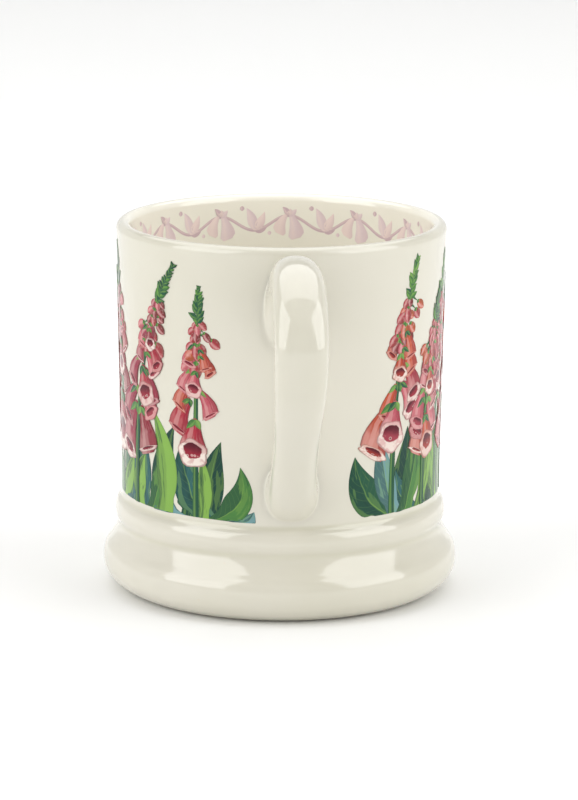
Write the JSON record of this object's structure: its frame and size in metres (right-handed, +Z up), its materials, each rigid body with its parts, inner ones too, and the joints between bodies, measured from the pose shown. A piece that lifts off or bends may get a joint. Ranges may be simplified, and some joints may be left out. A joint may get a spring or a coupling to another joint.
{
  "type": "ceramic mug",
  "caption": "Glazed ceramic mug with a rounded lip, a raised collar over a rounded base, and an ear-shaped strap handle.",
  "frame": {"origin": "middle of the mug's box on the surface it stands on; the bowl's own axis is at X 0, Y +14.3 mm", "axes": "+Z up through the open mouth, -Y towards the handle, X across the mug"},
  "size_m": [0.0888, 0.1174, 0.0925],
  "materials": {
    "body_glaze": "glossy cream glaze with a printed band of foxgloves under it",
    "handle_glaze": "glossy plain cream glaze"
  },
  "bodies": {
    "root": {"mug_body": "body_glaze", "mug_handle": "handle_glaze"}
  },
  "joints": []
}
